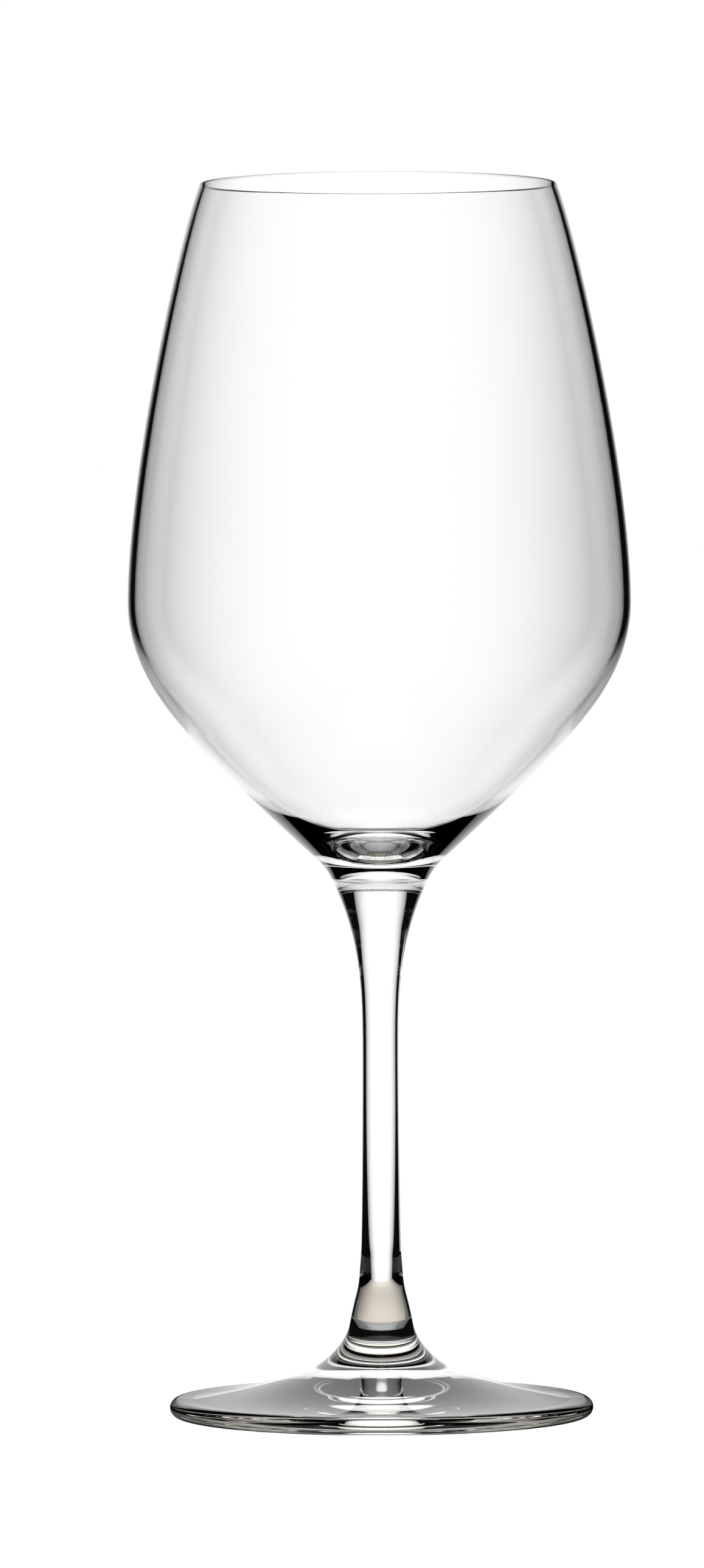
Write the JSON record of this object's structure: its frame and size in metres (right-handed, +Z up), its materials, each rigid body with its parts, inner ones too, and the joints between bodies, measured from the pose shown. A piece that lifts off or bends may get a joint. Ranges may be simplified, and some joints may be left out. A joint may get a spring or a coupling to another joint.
{
  "type": "wine glass",
  "caption": "Clear stemmed wine glass with a tall bowl tapering in to the rim, a slim solid stem and a wide round foot.",
  "frame": {"origin": "centre of the circle that the foot stands on, at table height", "axes": "+Z up along the stem's axis; the glass is round, so +X and +Y are any two square directions"},
  "size_m": [0.0922, 0.0922, 0.226],
  "materials": {
    "bowl_glass": "clear colourless blown glass, fire polished",
    "stem_glass": "clear colourless solid glass, faintly warm through its length",
    "foot_glass": "clear colourless pressed glass, fire polished"
  },
  "bodies": {
    "root": {"bowl": "bowl_glass", "stem": "stem_glass", "foot": "foot_glass"}
  },
  "joints": []
}
